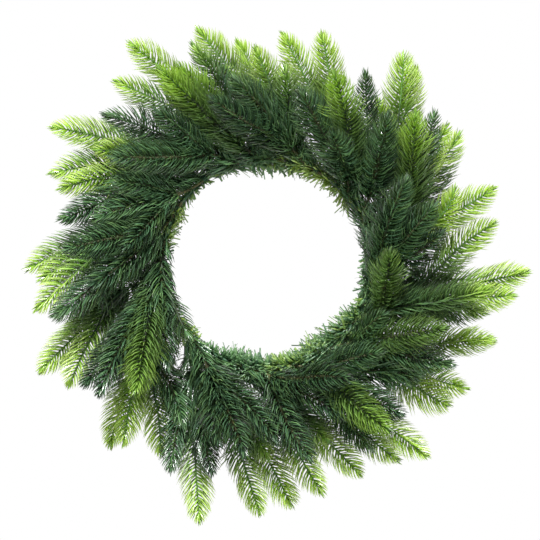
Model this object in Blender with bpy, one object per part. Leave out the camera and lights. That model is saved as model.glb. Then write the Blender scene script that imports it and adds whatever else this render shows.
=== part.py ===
"""Door wreath: moulded fir sprays and a tinsel garland, bound with tie wire to a round hoop.

The wreath hangs in the XZ plane with its face towards -Y. The world origin is the underside of
the hoop's top, where a door hook carries it. Sizes and places below are in millimetres.
"""

import math
from collections import namedtuple

import bpy
import numpy as np
from mathutils import Vector
from mathutils.geometry import convex_hull_2d

MM = 0.001

# Hoop, garland and wires: the last four are diameters or the gap between bound pieces
HOOP_RADIUS = 105.0
HOOP_SEGMENTS = 72
GARLAND_OPENING_DEG = 2.0
TIE_TURNS = 2
HOOP_WIRE = 4.0
GARLAND_CORE = 2.4
STEM = 3.4
TIE_WIRE = 1.2
CLEARANCE = 0.35

# Fir tips: the stiff middle of each tip, without its loose needle ends
TIP_HALF_WIDTH = 8.5
TIP_HALF_DEPTH = 4.6
TIP_END_RADIUS = 1.0
LEADER_START_RADIUS = STEM * 0.62
SHOOT_START_RADIUS = STEM * 0.48
SHORT_TIP = 80.0
LONG_TIP = 115.0
SIDES = 6

# Stems: how much lies along the hoop behind and ahead of its tie
FOOT_BEHIND = 7.0
FOOT_AHEAD = 5.0

# Depth: where stems fork, and how strongly the tips follow the plan's forward figures
FORK_FORWARD = {"front": 14.0, "behind": -10.0}
FULLNESS = 1.28

# Easing: neighbours are compared at points this far apart, and kept this far clear
SPACING = 5.0
LAY_GAP = 1.6
NEAR_FORK = 34.0
EASING_ROUNDS = 400

Spray = namedtuple("Spray", "name tie side fork tips")
Tip = namedtuple("Tip", "x z heading forward")

# Planting plan. tie: degrees round the hoop from three o'clock, counter-clockwise. side: whether
# the stem is bound in front of the hoop, or outside it with the spray reaching behind. fork: x, z
# from the hoop's centre. tips: where each one ends (x, z), the way it points there in degrees,
# and how far it stands forward of the hoop. The leader comes first.
SPRAYS = (
    Spray("back_spray_01", -58, "behind", (112, -92), (
        Tip(201, -126, -15, -12), Tip(229, -77, 1, -16), Tip(182, -142, -25, -8))),
    Spray("back_spray_02", -37, "behind", (150, -30), (
        Tip(262, -8, 14, -14), Tip(231, 42, 30, -20), Tip(248, -31, 8, -8))),
    Spray("back_spray_03", -20, "behind", (143, 30), (
        Tip(228, 76, 34, -10), Tip(193, 131, 61, -14), Tip(188, 76, 80, -4))),
    Spray("back_spray_04", 4, "behind", (125, 100), (
        Tip(138, 212, 87, -14), Tip(150, 199, 79, -22), Tip(112, 165, 95, -6))),
    Spray("back_spray_05", 34, "behind", (66, 138), (
        Tip(55, 232, 103, -10), Tip(17, 232, 115, -16), Tip(48, 186, 106, -22))),
    Spray("back_spray_06", 62, "behind", (5, 138), (
        Tip(-69, 236, 130, -12), Tip(-29, 224, 118, -20), Tip(-42, 196, 124, -4))),
    Spray("back_spray_07", 86, "behind", (-55, 140), (
        Tip(-139, 223, 145, -16), Tip(-152, 184, 155, -10), Tip(-100, 190, 140, -6))),
    Spray("back_spray_08", 104, "behind", (-110, 112), (
        Tip(-216, 138, 170, -12), Tip(-218, 92, 191, -18), Tip(-172, 114, 180, -5))),
    Spray("back_spray_09", 126, "behind", (-120, 92), (
        Tip(-207, 76, 198, -6), Tip(-207, 45, 198, -2), Tip(-160, 58, 204, -14))),
    Spray("back_spray_10", 148, "behind", (-142, 40), (
        Tip(-229, -16, 211, -12), Tip(-242, -5, 210, -22), Tip(-231, -45, 222, -8))),
    Spray("back_spray_11", 178, "behind", (-150, -30), (
        Tip(-229, -108, 225, -14), Tip(-199, -122, 247, -8), Tip(-204, -70, 220, -20))),
    Spray("back_spray_12", 196, "behind", (-124, -80), (
        Tip(-144, -181, 262, -8), Tip(-159, -183, 255, -18), Tip(-107, -191, 272, -14),
        Tip(-84, -162, 280, -2))),
    Spray("back_spray_13", 222, "behind", (-74, -112), (
        Tip(-68, -259, 275, -14), Tip(-97, -208, 264, -8), Tip(-56, -210, 280, -4))),
    Spray("back_spray_14", 238, "behind", (-38, -135), (
        Tip(-7, -251, 290, -10), Tip(24, -243, 295, -16), Tip(2, -196, 297, -4))),
    Spray("back_spray_15", 257, "behind", (15, -140), (
        Tip(55, -230, 304, -10), Tip(94, -213, 312, -16), Tip(62, -178, 318, -4))),
    Spray("back_spray_16", 279, "behind", (66, -132), (
        Tip(131, -197, 325, -10), Tip(161, -194, 321, -18), Tip(105, -186, 313, -4))),
    Spray("front_spray_01", -58, "front", (90, -78), (
        Tip(175, -62, 10, 46), Tip(182, -99, -10, 26), Tip(118, -48, 26, 30))),
    Spray("front_spray_02", -37, "front", (112, -48), (
        Tip(219, -26, 14, 44), Tip(214, -48, -13, 22), Tip(120, 13, 85, 50))),
    Spray("front_spray_03", -20, "front", (108, -12), (
        Tip(165, 59, 50, 40), Tip(136, 84, 65, 46), Tip(173, 33, 45, 28))),
    Spray("front_spray_04", 4, "front", (132, 42), (
        Tip(146, 149, 88, 30), Tip(166, 150, 77, 16), Tip(179, 136, 58, 8))),
    Spray("front_spray_05", 20, "front", (104, 72), (
        Tip(118, 146, 80, 42), Tip(97, 189, 93, 18), Tip(84, 150, 100, 20))),
    Spray("front_spray_06", 34, "front", (82, 88), (
        Tip(64, 187, 112, 44), Tip(33, 170, 116, 34), Tip(64, 128, 105, 52))),
    Spray("front_spray_07", 62, "front", (22, 120), (
        Tip(-34, 183, 138, 30), Tip(-54, 161, 144, 40), Tip(-11, 213, 114, 14),
        Tip(18, 194, 98, 22))),
    Spray("front_spray_08", 86, "front", (-28, 120), (
        Tip(-105, 191, 137, 38), Tip(-87, 195, 134, 22), Tip(-73, 218, 128, 8))),
    Spray("front_spray_09", 104, "front", (-58, 108), (
        Tip(-152, 105, 177, 40), Tip(-161, 147, 166, 24), Tip(-108, 151, 143, 36))),
    Spray("front_spray_10", 148, "front", (-113, 32), (
        Tip(-197, 14, 196, 38), Tip(-211, -52, 216, 18), Tip(-176, -22, 208, 28))),
    Spray("front_spray_11", 164, "front", (-104, 0), (
        Tip(-77, -71, 300, 30), Tip(-98, -104, 275, 20))),
    Spray("front_spray_12", 178, "front", (-113, -28), (
        Tip(-128, -127, 261, 48), Tip(-182, -119, 225, 20), Tip(-165, -129, 250, 30))),
    Spray("front_spray_13", 222, "front", (-55, -112), (
        Tip(-21, -187, 290, 40), Tip(-46, -176, 283, 28), Tip(12, -176, 304, 26))),
    Spray("front_spray_14", 257, "front", (5, -118), (
        Tip(44, -192, 310, 34), Tip(82, -111, 355, 44), Tip(76, -150, 325, 26))),
    Spray("front_spray_15", 279, "front", (50, -108), (
        Tip(119, -162, 324, 46), Tip(133, -147, 338, 30), Tip(114, -86, 10, 34),
        Tip(154, -110, 352, 12))),
    Spray("front_spray_16", 126, "front", (-94, 68), (
        Tip(-172, 44, 202, 22), Tip(-150, 80, 184, 30), Tip(-140, 14, 226, 34))),
)


# Plan curves -------------------------------------------------------------------------------------

def heading_vector(degrees):
    """Unit step in the given direction, seen from the front."""
    angle = math.radians(degrees)
    return np.array((math.cos(angle), math.sin(angle)))


def bezier(start, start_heading, end, end_heading, steps):
    """Plan points of a smooth bend that leaves and arrives in the given directions."""
    reach = np.linalg.norm(end - start) * 0.36
    handles = (start, start + heading_vector(start_heading) * reach,
               end - heading_vector(end_heading) * reach, end)
    t = np.linspace(0.0, 1.0, steps + 1)[:, None]
    weights = ((1 - t) ** 3, 3 * t * (1 - t) ** 2, 3 * t * t * (1 - t), t ** 3)
    return sum(weight * handle for weight, handle in zip(weights, handles))


def leaving_heading(fork, tip):
    """The direction in which a tip leaves its fork, so that it bends evenly to its end."""
    chord = math.degrees(math.atan2(tip.z - fork[1], tip.x - fork[0]))
    turn = (tip.heading - chord + 180.0) % 360.0 - 180.0
    return chord - turn


def hoop_point(degrees, outward=0.0):
    """Point on the hoop's centre line, or beside it."""
    return heading_vector(degrees) * (HOOP_RADIUS + outward)


def bound_place(side):
    """Where a stem lies in its tie: outward and forward of the hoop wire's centre."""
    beside = (HOOP_WIRE + STEM) / 2 + CLEARANCE
    return (0.0, beside) if side == "front" else (beside, -0.3)


class Strand:
    """One stem, leader or side shoot: its curve in plan, and its girth along the way."""

    def __init__(self, points, start_radius=None):
        steps = np.linalg.norm(np.diff(points, axis=0), axis=1)
        self.points = points
        self.along = np.concatenate(((0.0,), np.cumsum(steps)))
        self.length = self.along[-1]
        self.start_radius = start_radius
        self.is_stem = start_radius is None

    def stations(self):
        """Distances from the fork at which a tip changes girth, and the share of its full girth."""
        scale = min(1.0, self.length / SHORT_TIP)
        full = self.length / scale
        along = np.array((0.0, 9.0, 24.0, full - 40.0, full - 16.0, full - 5.0, full)) * scale
        return along, (0.0, 0.5, 0.9, 1.0, 0.85, 0.5, 0.0)

    def girth(self, along):
        """Half width and half depth at distances along the strand."""
        if self.is_stem:
            radius = np.full(len(along), STEM / 2)
            return radius, radius
        places, shares = self.stations()
        share = np.interp(along, places, shares)
        least = np.interp(along, (0.0, self.length), (self.start_radius, TIP_END_RADIUS))
        wide = TIP_HALF_WIDTH * min(1.0, self.length / SHORT_TIP) ** 0.5
        return np.maximum(wide * share, least), np.maximum(TIP_HALF_DEPTH * share, least)

    def plan(self, along):
        return (np.interp(along, self.along, self.points[:, 0]),
                np.interp(along, self.along, self.points[:, 1]))


class PlantedSpray:
    """A spray laid out in plan. Its shape says how far forward its fork and tips stand."""

    def __init__(self, plan):
        self.plan = plan
        fork = np.array(plan.fork, float)
        outward, self.bound_forward = bound_place(plan.side)
        foot = np.array([hoop_point(plan.tie + math.degrees(step / HOOP_RADIUS), outward)
                         for step in (-FOOT_BEHIND, 0.0, FOOT_AHEAD)])
        bend = bezier(foot[-1], plan.tie + 90.0, fork, leaving_heading(fork, plan.tips[0]), 8)
        self.stem = Strand(np.vstack((foot, bend[1:])))
        self.foot_length = FOOT_BEHIND + FOOT_AHEAD
        self.tips = []
        shape = [FORK_FORWARD[plan.side]]
        for tip in plan.tips:
            start_radius = SHOOT_START_RADIUS if self.tips else LEADER_START_RADIUS
            end = np.array((tip.x, tip.z), float)
            steps = max(8, int(np.linalg.norm(end - fork) / SPACING))
            strand = Strand(bezier(fork, leaving_heading(fork, tip), end, tip.heading, steps), start_radius)
            self.tips.append(strand)
            rise = tip.forward * FULLNESS - FORK_FORWARD[plan.side]
            reach = strand.length / 100.0
            shape += [rise / reach * 1.2, -rise / reach ** 2 * 0.2, 0.0]
        self.shape = np.array(shape)
        self.planned_shape = self.shape.copy()

    def forward_map(self, strand, along):
        """How far forward a strand stands: a fixed share, and a linear map from the shape."""
        rows = np.zeros((len(along), len(self.shape)))
        if strand.is_stem:
            free = strand.length - self.foot_length
            t = np.clip((along - self.foot_length) / free, 0.0, 1.0)
            rows[:, 0] = t * t * (3 - 2 * t)
            rows[:, 1] = t * t * (t - 1) * free / 100.0
            return (1 - t) ** 2 * (1 + 2 * t) * self.bound_forward, rows
        column = 1 + 3 * self.tips.index(strand)
        reach = along / 100.0
        rows[:, 0] = 1.0
        for power in (1, 2, 3):
            rows[:, column + power - 1] = reach ** power
        return np.zeros(len(along)), rows

    def place(self, strand, along):
        """Points in space (x, forward, z) at distances along a strand."""
        fixed, rows = self.forward_map(strand, along)
        x, z = strand.plan(along)
        return np.column_stack((x, fixed + rows @ self.shape, z))


# Easing neighbours apart -------------------------------------------------------------------------

class Crowd:
    """Every strand, tie and stretch of hoop as a row of round points that must not touch."""

    def __init__(self, sprays):
        self.sprays = sprays
        self.maps, self.spans = [], []
        rows = []
        strand_number = 0
        for number, spray in enumerate(sprays):
            first = len(rows)
            maps = []
            for strand in [spray.stem] + spray.tips:
                along = np.linspace(0.0, strand.length, max(4, int(strand.length / SPACING)))
                maps.append(spray.forward_map(strand, along))
                for point in zip(*strand.plan(along), *strand.girth(along), along):
                    rows.append((*point, strand_number, number, strand.is_stem))
                strand_number += 1
            self.spans.append((first, len(rows)))
            self.maps.append([np.concatenate(part) for part in zip(*maps)])
        self.free_count = len(rows)
        hoop = [(degrees, HOOP_WIRE / 2 + 1.0, HOOP_WIRE / 2) for degrees in range(0, 360, 3)]
        ties = [(degrees, 7.5, 7.2) for degrees in sorted({spray.plan.tie for spray in sprays})]
        for degrees, wide, deep in hoop + ties:
            rows.append((*hoop_point(degrees), wide, deep, 0.0, strand_number, -1, False))
            strand_number += 1
        self.x, self.z, self.wide, self.deep, self.from_fork, strand, spray, stem = np.array(rows, float).T
        self.pair_up(strand.astype(int), spray.astype(int), stem.astype(bool))

    def pair_up(self, strand, spray, stem):
        """Lists the points that lie across each other, and which strand of a pair is in front."""
        apart = np.hypot(np.subtract.outer(self.x, self.x), np.subtract.outer(self.z, self.z))
        reach = np.add.outer(self.wide, self.wide)
        same_spray = np.equal.outer(spray, spray)
        near_fork = np.logical_or.outer(self.from_fork < NEAR_FORK, self.from_fork < NEAR_FORK)
        any_stem = np.logical_or.outer(stem, stem)
        any_fixed = np.logical_or.outer(spray < 0, spray < 0)
        skip = np.equal.outer(strand, strand) | same_spray & (near_fork | any_stem | any_fixed)
        skip |= any_fixed & any_stem
        self.a, self.b = np.nonzero(np.triu((apart < reach) & ~skip, 1))
        lapped = (apart / reach)[self.a, self.b]
        thickness = self.deep[self.a] + self.deep[self.b]
        self.need = thickness * np.sqrt(1.0 - lapped ** 2) + LAY_GAP
        forward = self.forward()
        lead = (forward[self.a] - forward[self.b]) * (1.05 - lapped)
        pair = strand[self.a] * len(strand) + strand[self.b]
        _, group = np.unique(pair, return_inverse=True)
        self.sign = np.where(np.bincount(group, lead) >= 0.0, 1.0, -1.0)[group]

    def forward(self):
        free = [fixed + rows @ spray.shape for spray, (fixed, rows) in zip(self.sprays, self.maps)]
        return np.concatenate(free + [np.zeros(len(self.x) - self.free_count)])

    def short_of_room(self):
        """How much each pair of points lacks of the room that it needs."""
        forward = self.forward()
        return self.need - self.sign * (forward[self.a] - forward[self.b])

    def ease(self):
        """Moves tips and forks forward and back until every pair has its room."""
        solvers = []
        for _, rows in self.maps:
            square = rows.T @ rows + np.eye(rows.shape[1]) * 0.05
            solvers.append(np.linalg.solve(square, rows.T))
        for _ in range(EASING_ROUNDS):
            short = self.short_of_room()
            tight = short > 0.0
            push = np.zeros(len(self.x))
            count = np.zeros(len(self.x))
            for index, direction in ((self.a, 1.0), (self.b, -1.0)):
                np.add.at(push, index[tight], direction * self.sign[tight] * short[tight])
                np.add.at(count, index[tight], 1.0)
            push /= np.maximum(count, 1.0)
            for spray, solver, (first, last) in zip(self.sprays, solvers, self.spans):
                spray.shape += solver @ push[first:last] * 0.9
                spray.shape += (spray.planned_shape - spray.shape) * 0.001
        if self.short_of_room().max() > LAY_GAP:
            raise RuntimeError("two tips of the planting plan still touch")


# Solids ------------------------------------------------------------------------------------------

def in_world(point):
    """World position of a point given as x, forward, z from the hoop's centre."""
    return Vector((point[0], -point[1], point[2] - (HOOP_RADIUS - HOOP_WIRE / 2))) * MM


def material(name, colour, roughness, metallic=0.0):
    made = bpy.data.materials.new(name)
    made.use_nodes = True
    shader = made.node_tree.nodes["Principled BSDF"]
    shader.inputs["Base Color"].default_value = (*colour, 1.0)
    shader.inputs["Roughness"].default_value = roughness
    shader.inputs["Metallic"].default_value = metallic
    made.diffuse_color = (*colour, 1.0)
    return made


def girdle(centre, tangent, wide, deep):
    """One ring of points round a strand, flat side to the front."""
    tangent = tangent / np.linalg.norm(tangent)
    across = np.cross(tangent, (0.0, 1.0, 0.0))
    across /= np.linalg.norm(across)
    over = np.cross(across, tangent)
    angles = [2.0 * math.pi * step / SIDES for step in range(SIDES)]
    return [centre + across * wide * math.cos(angle) + over * deep * math.sin(angle) for angle in angles]


def loft(name, rings, finish):
    """Closed solid through rings of points."""
    points = [in_world(point) for ring in rings for point in ring]
    faces = [tuple(range(SIDES - 1, -1, -1)), tuple(range(len(points) - SIDES, len(points)))]
    for start in range(0, len(points) - SIDES, SIDES):
        for side in range(SIDES):
            here = start + side
            beside = start + (side + 1) % SIDES
            faces.append((here, beside + SIDES, here + SIDES))
            faces.append((here, beside, beside + SIDES))
    mesh = bpy.data.meshes.new(name)
    mesh.from_pydata(points, [], faces)
    mesh.materials.append(finish)
    made = bpy.data.objects.new(name, mesh)
    bpy.context.scene.collection.objects.link(made)
    return made


def strand_rings(spray, strand, stations):
    wide, deep = strand.girth(stations)
    centres = spray.place(strand, stations)
    before = spray.place(strand, np.maximum(stations - 1.0, 0.0))
    after = spray.place(strand, np.minimum(stations + 1.0, strand.length))
    return [girdle(*ring) for ring in zip(centres, after - before, wide, deep)]


def tip_rings(spray, strand):
    stations, _ = strand.stations()
    if strand.length > LONG_TIP:
        stations = np.insert(stations, 3, stations[2:4].mean())
    return strand_rings(spray, strand, stations)


def join_shoots(target, shoots):
    """Joins the side shoots to the leader as one solid."""
    for shoot in shoots:
        joint = target.modifiers.new("Side shoot", "BOOLEAN")
        joint.operation = "UNION"
        joint.object = shoot
    evaluated = target.evaluated_get(bpy.context.evaluated_depsgraph_get())
    joined = bpy.data.meshes.new_from_object(evaluated)
    target.modifiers.clear()
    target.data = joined
    for shoot in shoots:
        bpy.data.objects.remove(shoot)


def fir_spray(spray, finish):
    """A wired stem that forks into a leader and its side shoots."""
    stem_stations = np.linspace(spray.foot_length, spray.stem.length, 4)[:-1]
    stem_rings = strand_rings(spray, spray.stem, np.concatenate(((0.0,), stem_stations)))
    leader, *shoots = spray.tips
    body = loft(spray.plan.name, stem_rings + tip_rings(spray, leader), finish)
    join_shoots(body, [loft("side shoot", tip_rings(spray, shoot), finish) for shoot in shoots])


def hoop_wire(finish):
    bpy.ops.mesh.primitive_torus_add(
        major_radius=HOOP_RADIUS * MM, minor_radius=HOOP_WIRE / 2 * MM,
        major_segments=HOOP_SEGMENTS, minor_segments=8,
        location=in_world((0.0, 0.0, 0.0)), rotation=(math.pi / 2, 0.0, 0.0))
    made = bpy.context.object
    made.name = "ring_wire"
    made.data.materials.append(finish)


def behind_hoop():
    """How far forward the garland's core lies: just behind the hoop wire."""
    return -((HOOP_WIRE + GARLAND_CORE) / 2 + CLEARANCE)


def garland(finish):
    """The garland's twisted core, laid round the back of the hoop from one cut end to the other."""
    bottom = 270.0
    turn = 360.0 / HOOP_SEGMENTS
    angles = [bottom + turn * step for step in range(1, HOOP_SEGMENTS)]
    angles.insert(0, bottom + GARLAND_OPENING_DEG / 2)
    angles.append(bottom + 360.0 - GARLAND_OPENING_DEG / 2)
    rings = []
    for degrees in angles:
        x, z = hoop_point(degrees)
        along_x, along_z = heading_vector(degrees + 90.0)
        centre = np.array((x, behind_hoop(), z))
        rings.append(girdle(centre, np.array((along_x, 0.0, along_z)), GARLAND_CORE / 2, GARLAND_CORE / 2))
    loft("tinsel_garland", rings, finish)


def tie_belt(sides):
    """Outline of one turn of tie wire: outward and forward of the hoop wire's centre."""
    bundle = [(0.0, 0.0, HOOP_WIRE / 2), (0.0, behind_hoop(), GARLAND_CORE / 2)]
    bundle += [(*bound_place(side), STEM / 2) for side in sides]
    rim = []
    for outward, forward, radius in bundle:
        reach = radius + CLEARANCE + TIE_WIRE / 2
        rim += [Vector((outward, forward)) + Vector((math.cos(angle), math.sin(angle))) * reach
                for angle in (step * math.pi / 4 for step in range(8))]
    return [rim[index] for index in convex_hull_2d(rim)]


def tie_wire(name, degrees, sides, finish):
    """A short coil pulled tight round the hoop, the garland and one or two stems."""
    belt = tie_belt(sides)
    pitch = TIE_WIRE + CLEARANCE
    curve = bpy.data.curves.new(name, "CURVE")
    curve.dimensions = "3D"
    curve.bevel_depth = TIE_WIRE / 2 * MM
    curve.bevel_resolution = 0
    curve.use_fill_caps = True
    spline = curve.splines.new("POLY")
    spline.points.add(TIE_TURNS * len(belt))
    for step, point in enumerate(spline.points):
        outward, forward = belt[step % len(belt)]
        ahead = (step / len(belt) - TIE_TURNS / 2) * pitch
        x, z = hoop_point(degrees + math.degrees(ahead / HOOP_RADIUS), outward)
        point.co = (*in_world((x, forward, z)), 1.0)
    curve.materials.append(finish)
    made = bpy.data.objects.new(name, curve)
    bpy.context.scene.collection.objects.link(made)


def main():
    for old in list(bpy.data.objects):
        bpy.data.objects.remove(old)
    painted_steel = material("painted_steel", (0.030, 0.060, 0.030), 0.45, 0.4)
    pvc_tinsel = material("pvc_tinsel", (0.060, 0.180, 0.050), 0.5)
    moulded_fir = material("moulded_fir", (0.035, 0.095, 0.045), 0.55)
    sprays = [PlantedSpray(plan) for plan in SPRAYS]
    Crowd(sprays).ease()
    for spray in sprays:
        fir_spray(spray, moulded_fir)
    hoop_wire(painted_steel)
    garland(pvc_tinsel)
    for number, degrees in enumerate(sorted({plan.tie for plan in SPRAYS}), 1):
        sides = [plan.side for plan in SPRAYS if plan.tie == degrees]
        tie_wire(f"tie_wire_{number:02d}", degrees, sides, painted_steel)


main()
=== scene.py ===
import math
from collections import namedtuple

import bpy
import numpy as np
from bpy.props import EnumProperty, FloatProperty, FloatVectorProperty, IntProperty, PointerProperty
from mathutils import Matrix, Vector
from mathutils.geometry import convex_hull_2d


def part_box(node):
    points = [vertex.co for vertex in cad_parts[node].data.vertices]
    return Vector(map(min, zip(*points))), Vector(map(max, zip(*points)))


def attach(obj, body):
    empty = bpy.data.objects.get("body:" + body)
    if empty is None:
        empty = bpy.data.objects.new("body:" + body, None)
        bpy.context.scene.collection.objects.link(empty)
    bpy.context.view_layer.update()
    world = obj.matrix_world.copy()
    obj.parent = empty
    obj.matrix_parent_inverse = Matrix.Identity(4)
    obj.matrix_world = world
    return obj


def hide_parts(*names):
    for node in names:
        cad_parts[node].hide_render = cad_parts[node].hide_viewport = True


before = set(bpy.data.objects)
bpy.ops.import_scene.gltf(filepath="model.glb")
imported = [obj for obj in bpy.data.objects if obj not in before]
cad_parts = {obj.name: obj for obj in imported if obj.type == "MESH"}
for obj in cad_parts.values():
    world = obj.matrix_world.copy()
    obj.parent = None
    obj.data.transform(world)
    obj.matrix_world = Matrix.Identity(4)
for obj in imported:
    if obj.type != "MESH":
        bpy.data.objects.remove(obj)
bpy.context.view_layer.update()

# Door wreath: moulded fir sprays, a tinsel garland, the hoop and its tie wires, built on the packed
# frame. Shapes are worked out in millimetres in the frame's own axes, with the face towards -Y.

bl_info = {
    "name": "Door Wreath",
    "version": (1, 0, 0),
    "blender": (4, 5, 0),
    "location": "View3D > Sidebar > Wreath",
    "description": "Builds a door wreath of moulded fir sprays and tinsel on its packed frame",
    "category": "Add Mesh",
}

MM = 0.001
BAKE_MAP = "OFBake"
FRONT = np.array((0.0, -1.0, 0.0))

# What the packed sprays are read by: the side of a tip's end ring and of a stem's rings, how exact
# those are, the corners of every ring, and the number of rings in a stem
TIP_RING_SIDE = 1.0
STEM_RING_SIDE = 1.7
SIDE_TOLERANCE = 0.03
RING_CORNERS = 6
STEM_RINGS = 4

HOOP_BOX = [np.array(corner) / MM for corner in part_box("ring_wire")]
HOOP_CENTRE = (HOOP_BOX[0] + HOOP_BOX[1]) / 2
HOOP_WIRE = HOOP_BOX[1][1] - HOOP_BOX[0][1]
HOOP_RADIUS = (HOOP_BOX[1][0] - HOOP_BOX[0][0] - HOOP_WIRE) / 2
GARLAND_BOX = [np.array(corner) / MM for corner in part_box("tinsel_garland")]
GARLAND_DEPTH = (GARLAND_BOX[0][1] + GARLAND_BOX[1][1]) / 2

# How old the growth is on each spray's tips, clockwise to counter-clockwise as seen from the front
BACK_TIPS = (
    "light light full", "light light light", "light light half", "light light half", "light mid light",
    "light light mid", "light full half", "light half half", "light dark dark", "half half light",
    "mid light light", "light light light dark", "dark light deep", "light light mid", "light light mid",
    "dark half light")
FRONT_TIPS = (
    "dark olive dark", "budding fading olive", "deep dark dark", "light thin bright", "dark thin dark",
    "bright dark dark", "mid half dark deep", "mid bright bright", "dark thin dark", "dark dark deep",
    "deep bare", "deep deep leafy", "deep deep deep", "deep deep deep", "leafy deep dark dark",
    "dark dark deep")
SPRAY_TIPS = {f"{side}_spray_{number:02d}": tips.split()
              for side, sprays in (("back", BACK_TIPS), ("front", FRONT_TIPS))
              for number, tips in enumerate(sprays, 1)}

# Tips whose needles are longer or shorter than the rest, by spray and place in its list of tips
TIP_FULLNESS = {
    ("back_spray_01", 0): 1.15, ("back_spray_04", 1): 1.1, ("back_spray_07", 1): 1.15,
    ("back_spray_14", 1): 1.1, ("front_spray_04", 1): 0.88, ("front_spray_05", 1): 0.78,
    ("front_spray_06", 2): 1.15, ("front_spray_07", 0): 1.15, ("front_spray_10", 1): 1.1,
    ("front_spray_10", 2): 1.1, ("front_spray_15", 1): 1.1, ("front_spray_15", 2): 1.2}

# fresh: how new the growth is at the tip's end. depth: how far from the end it has half faded, in mm.
# vivid: how far it leans to yellow-green. twig: how green the twig is under it. tone: lighter or darker (on
# the deep tips, painted shade).
# rows: its needle rows. close: the gap between its needles and their width, as a share of the usual ones.
Growth = namedtuple("Growth", "fresh depth vivid twig tone rows close", defaults=(0.0, "brush", 0.93))
GROWTHS = {
    "deep": Growth(0.0, 10.0, 0.1, 0.35, -0.22, "brush", 0.92),
    "dark": Growth(0.08, 10.0, 0.2, 0.4, 0.03, "brush", 0.92),
    "thin": Growth(0.14, 12.0, 0.2, 0.9, 0.05, "comb", 0.92),
    "bare": Growth(0.14, 12.0, 0.2, 0.9, 0.08, "sparse", 1.0),
    "mid": Growth(0.66, 22.0, 0.25, 0.75, 0.05),
    "olive": Growth(0.34, 60.0, 0.85, 0.55, 0.04),
    "half": Growth(0.88, 38.0, 0.15, 0.95, 0.05, "comb", 0.95),
    "light": Growth(1.0, 58.0, 0.1, 1.0, 0.0, "comb", 0.95),
    "full": Growth(1.0, 52.0, 0.45, 0.8),
    "fading": Growth(0.95, 26.0, 0.6, 0.75),
    "budding": Growth(0.8, 14.0, 0.4, 0.6, -0.05),
    "leafy": Growth(0.62, 62.0, 0.95, 0.6, 0.05),
    "bright": Growth(1.0, 44.0, 1.0, 0.65, 0.0, "brush", 0.92),
}

# Rows of needles on each side of a twig. lift: towards the front in degrees. phase: how far the row is
# shifted, as a share of the spacing. gap: its own spacing, in spacings. share: of the full length.
Row = namedtuple("Row", "lift phase gap share")
FLAT_ROW = Row(0.0, 0.0, 1.0, 1.0)
NEEDLE_ROWS = {
    "comb": (FLAT_ROW, Row(25.0, 0.08, 1.0, 0.97), Row(-28.0, 0.32, 1.0, 0.95), Row(52.0, 0.5, 2.0, 0.78)),
    "brush": (FLAT_ROW, Row(29.0, 0.06, 1.0, 0.98), Row(-28.0, 0.5, 1.0, 0.97), Row(57.0, 0.14, 1.0, 0.88),
              Row(82.0, 0.55, 2.0, 0.72), Row(-58.0, 0.3, 2.0, 0.72)),
    "sparse": (FLAT_ROW, Row(22.0, 0.5, 3.0, 0.95)),
    "fill": (Row(-12.0, 0.75, 1.0, 1.1), Row(-36.0, 0.2, 1.0, 1.1)),
}
# The filling rows behind: how much more they lean, where past the fork they begin, how far past it they
# have to go to be made, how far short of the tip's end they stop, and how far from the hoop's axis
FILL_LEAN = 20.0
FILL_FROM, FILL_PAST, FILL_SHORT = 3.0, 10.0, 28.0
FILL_RADIUS = 193.0

# Needle length as a share of the longest, and mean lean in degrees, by distance back from the tip's end
TAPER_PLACES = (0, 6, 10, 13, 20, 30, 45, 60, 80)
TAPER_LENGTHS = (0.32, 0.43, 0.54, 0.62, 0.77, 0.95, 1.06, 1.1, 1.12)
TAPER_LEANS = (10, 19, 28, 33, 39, 43, 45, 46, 46)

# The rings of a needle: their places along it and their shares of its full width. Its ridge rises so
# many half widths in front and goes so many behind, times the ridge setting.
STATIONS = (0.0, 0.34, 0.7)
WIDTH_SHARES = (0.8, 1.0, 0.72)
RIDGE_FRONT, RIDGE_BACK = 1.6, 0.4
NEEDLE_CORNERS = 3
NEEDLE_POINTS = len(STATIONS) * NEEDLE_CORNERS + 1
# A needle's curve: at how many places it is worked out, and how soon it bends (1 is evenly, less is sooner)
FINE_STEPS = 26
BEND_EASE = 0.8
# How far the lean at a needle's root is from its mean in degrees, in a brush and in a comb
BRUSH_BEND, COMB_BEND = 26.0, 21.0
# How unevenly needles stand: along the twig in spacings, in lift, in lean and in bend in degrees, in
# length as a share. Then the share of them that stands astray, and the shortest one that is made.
PLACE_SPREAD, LIFT_SPREAD, LEAN_SPREAD, BEND_SPREAD, LENGTH_SPREAD = 0.05, 3.0, 2.2, 2.5, 0.03
STRAY_NEEDLES = 0.04
STUMP = 0.5

# How far in the needles reach round the rim: bearing in degrees from three o'clock and clear radius
RIM_COURSE = (
    (0, 94), (12, 92), (22, 92), (30, 103), (38, 103), (48, 107), (54, 109), (76, 109), (84, 104), (95, 99),
    (112, 101), (120, 109), (138, 110), (162, 107), (168, 95), (178, 92), (188, 97), (195, 92), (202, 89),
    (214, 88), (222, 98), (230, 108), (260, 107), (290, 108), (335, 107), (345, 98), (360, 94))
# How unevenly they end there, the share of its length under which a needle may go altogether, how many
# of those go, and the least share of its length that a needle keeps
RIM_SPREAD, CUT_UNDER, CUT_AWAY, LEAST_KEPT = 2.2, 0.7, 0.6, 0.25
# How far back the needles may reach, which is where the door's face is
BACK_REACH = 40.5

# Stems and twigs: their radii at both ends, how far past the fork a stem goes on, how far before it a
# twig begins, how far short of the tip's end a twig stops, and their share of the bake map
STEM_RADII, TWIG_RADII = (1.7, 1.45), (1.45, 0.75)
STEM_PAST, TWIG_BEFORE, TWIG_SHORT = 3.0, 2.0, 5.0
TUBE_SHARE = 0.14
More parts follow.
